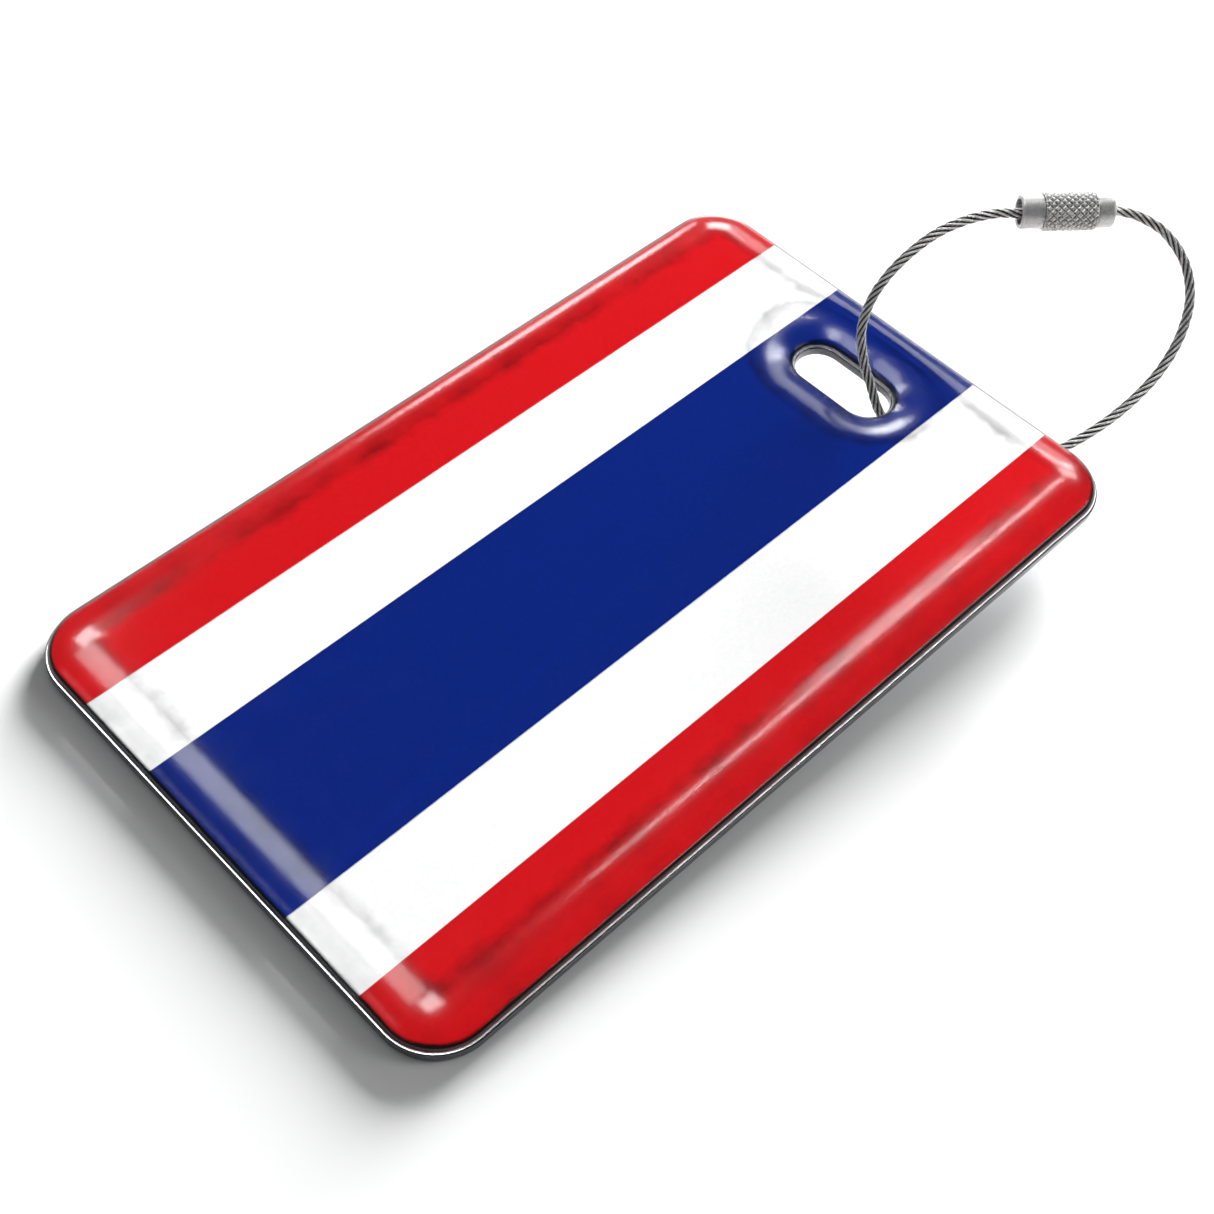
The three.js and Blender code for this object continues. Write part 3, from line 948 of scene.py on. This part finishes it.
def rise(distance, shoulder, power):
    """Share of the resin's full height at a distance in from an edge."""
    left = 1 - min(distance / shoulder, 1.0)
    return 1 - left ** power


def resin_height(from_edge, from_slot):
    """Height of the resin: it rolls up steeply from either edge, and then swells gently."""
    rolled = 1 - min(from_edge / DOME_ROLL, from_slot / DOME_ROLL, 1.0)
    swell = rise(from_edge, DOME_SHOULDER, DOME_FULLNESS)
    swell *= rise(from_slot, SLOT_SHOULDER, SLOT_FULLNESS)
    return DOME_EDGE * math.sqrt(1 - rolled ** 2) + DOME_RISE * swell


def edge_distance(point):
    """Distance of a point inside the print's outline from that outline."""
    corner = TAG_CORNER - PRINT_INSET
    half_x = TAG_LENGTH / 2 - PRINT_INSET
    half_y = TAG_WIDTH / 2 - PRINT_INSET
    past_x = abs(point.x) - (half_x - corner)
    past_y = abs(point.y) - (half_y - corner)
    if past_x > 0 and past_y > 0:
        return corner - math.hypot(past_x, past_y)
    return min(half_x - abs(point.x), half_y - abs(point.y))


def rim_shade(point):
    """1 on the resin's rims, and falling to 0 in from them."""
    from_edge = edge_distance(point) / EDGE_SHADE_WIDTH
    from_slot = (slot_distance(point) - PRINT_INSET) / SLOT_SHADE_WIDTH
    return max(0.0, 1 - min(from_edge, from_slot))


def widening(reach, count):
    """Distances from 0 to `reach`, closest together at 0."""
    return [reach * (k / count) ** 1.6 for k in range(count + 1)]


def make_resin_dome():
    """The clear cap: its skin rolls down to the outer edge and to the slot's edge."""
    insets = widening(3.9 * MM, 36)
    grows = widening(2.8 * MM, 26)
    edge = [(0.0, 0.0)] + [(inset, 0.0) for inset in insets]
    rim = [(PRINT_INSET + grow, 0.0) for grow in reversed(grows)] + [(PRINT_INSET, 0.0)]
    between = [t * t * (3 - 2 * t) for t in spaced(0, 1, 40)[1:-1]]
    rings = layer_rings(print_outline, edge, rim, between)
    for ring, inset in zip_longest(rings[1:-1], insets):
        for point in ring:
            from_edge = edge_distance(point) if inset is None else inset
            from_slot = max(slot_distance(point) - PRINT_INSET, 0.0)
            point.z = DOME_Z + resin_height(from_edge, from_slot)
    for ring in (rings[0], rings[-1]):
        for point in ring:
            point.z = DOME_Z

    cap = make_layer("resin_cap", rings, clear_resin)
    shade = cap.data.attributes.new(RIM_SHADE, "FLOAT", "POINT")
    shade.data.foreach_set("value", [rim_shade(p) for ring in rings for p in ring])
    cap.data.materials.append(resin_bond)
    underside = len(cap.data.polygons) - len(rings[0])
    for polygon in cap.data.polygons[underside:]:
        polygon.material_index = 1
    return sharpen(cap, 55)


def make_red_band(name, side):
    """The red band along one long edge: the part of the print's outline past the white."""
    half = TAG_LENGTH / 2 - PRINT_INSET
    inner = 2 * BAND
    inward = Vector((0, -side, 0))
    outline = [(p, out) for p, out in print_outline if side * p.y > inner]
    outline += [(Vector((x, side * inner, 0)), inward) for x in (-half, half)]
    middle = side * (inner + TAG_WIDTH / 2) / 2
    outline.sort(key=lambda item: math.atan2(item[0].y - middle, item[0].x))
    return make_plain_layer(name, outline, INK_Z, INK, red_print)


def make_print():
    """The printed sheet on its bond, with the three ink bands on it."""
    blue_outline = rounded_rectangle(
        TAG_LENGTH - 2 * PRINT_INSET, 2 * BAND, 0.0, steps=1, side_steps=(60, 24)
    )
    bond = make_sheet_layer("print_bond", print_outline, GLUE_Z, GLUE, adhesive)
    sheet = make_sheet_layer("print_sheet", print_outline, SHEET_Z, SHEET, white_print)
    blue = make_sheet_layer("print_blue", blue_outline, INK_Z, INK, blue_print)
    return [
        (bond, "print_adhesive", "adhesive"),
        (sheet, "printed_sheet", "white_sheet"),
        (blue, "blue_band", "blue_ink"),
        (make_red_band("print_red_far", 1), "red_band_far", "red_ink"),
        (make_red_band("print_red_near", -1), "red_band_near", "red_ink"),
    ]


def make_label():
    """The write-on label on its bond, under the plate."""
    outline = rounded_rectangle(LABEL_LENGTH, LABEL_WIDTH, LABEL_CORNER, x=LABEL_X)
    bond_z = -LAYER_GAP - GLUE
    sheet_z = bond_z - LAYER_GAP - SHEET
    bond = make_plain_layer("label_bond", outline, bond_z, GLUE, adhesive)
    sheet = make_plain_layer("label_sheet", outline, sheet_z, SHEET, label_film)
    return [
        (bond, "label_adhesive", "adhesive"),
        (sheet, "write_on_label", "label_film"),
    ]


tag_pieces = [
    (make_plate(), "plate", "plate_metal"),
    *make_print(),
    (make_resin_dome(), "resin_dome", "clear_resin"),
    *make_label(),
]
for piece, node, slot_name in tag_pieces:
    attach(piece, "tag")
    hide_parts(node)

rules = frame["nodes"]["label_rules"]
rules.data.materials.clear()
rules.data.materials.append(dark_print)

# ---- Floor, world and lights -------------------------------------------------------------


def make_floor():
    """A square of floor, 3 m across."""
    half = 1.5
    corners = [(-half, -half, 0), (half, -half, 0), (half, half, 0), (-half, half, 0)]
    paint = make_floor_paint()
    floor = make_piece(
        "floor", corners, [(0, 1, 2, 3)], Matrix.Identity(4), paint, smooth=False
    )


def make_light(name, start, end, width, power, mirrored):
    """A soft box 1 m from the tag, which sees it from direction `start` to direction `end`.

    A mirrored one is a reflector card: it shows in gloss, and lights nothing. Any other is a
    lamp, which lights everything and shows in nothing.
    """
    start, end = Vector(start), Vector(end)
    along = end - start
    away = (start + end).normalized()
    across = away.cross(along).normalized()
    along = across.cross(away)
    data = bpy.data.lights.new(name, "AREA")
    data.shape = "RECTANGLE"
    data.size = (end - start).length
    data.size_y = width
    data.energy = power
    light = bpy.data.objects.new(name, data)
    turn = Matrix((along, across, away)).transposed().to_4x4()
    light.matrix_world = Matrix.Translation(away) @ turn
    light.visible_glossy = mirrored
    light.visible_diffuse = not mirrored
    bpy.context.scene.collection.objects.link(light)


def make_world():
    """A dim, even studio round everything."""
    world = bpy.data.worlds.new("studio")
    world.use_nodes = True
    background = world.node_tree.nodes["Background"]
    background.inputs["Color"].default_value = (0.95, 0.97, 1.0, 1)
    background.inputs["Strength"].default_value = 0.1
    bpy.context.scene.world = world


# Lamps and cards: name, first and last direction, width in metres and power in watts.
LAMPS = [
    ("main", (0.93, 0.05, 0.23), (0.79, 0.51, 0.23), 0.4, 54),
    ("front_fill", (0.8, -0.45, 0.45), (0.55, -0.7, 0.45), 0.4, 2.8),
    ("top_fill", (-0.7, -0.2, 1.0), (0.7, 0.2, 1.0), 1.4, 1.8),
]
CARDS = [
    ("left_card", (-0.3, 0.46, 0.87), (0.02, 0.46, 0.87), 0.4, 2.6),
    ("left_corner_card", (-0.12, 0.7, 0.7), (0.12, 0.7, 0.7), 0.22, 2.4),
    ("near_corner_card", (-0.2, 0.12, 0.95), (0.04, 0.12, 0.95), 0.22, 2.4),
    ("right_corner_card", (0.78, 0.0, 0.62), (0.85, 0.2, 0.48), 0.24, 2.4),
    ("far_corner_card", (0.7, 0.7, 0.45), (0.82, 0.54, 0.45), 0.2, 1.8),
    ("far_end_card", (0.88, 0.05, 0.42), (0.78, 0.5, 0.42), 0.26, 1.1),
    ("back_card", (0.36, 0.8, 0.27), (0.58, 0.8, 0.27), 0.12, 1.1),
    ("near_line_card", (0.26, 0.05, 0.9), (0.72, 0.05, 0.75), 0.03, 0.9),
    ("near_glow_card", (0.45, 0.12, 0.86), (0.57, 0.12, 0.8), 0.08, 0.3),
    ("front_card", (0.2, -0.75, 0.42), (0.8, -0.5, 0.42), 0.12, 1.2),
    ("near_left_card", (-0.65, 0.15, 0.62), (-0.6, 0.6, 0.55), 0.06, 0.2),
]

make_floor()
make_world()
for lamp in LAMPS:
    make_light(*lamp, mirrored=False)
for card in CARDS:
    make_light(*card, mirrored=True)

bpy.context.scene.view_settings.view_transform = "Standard"
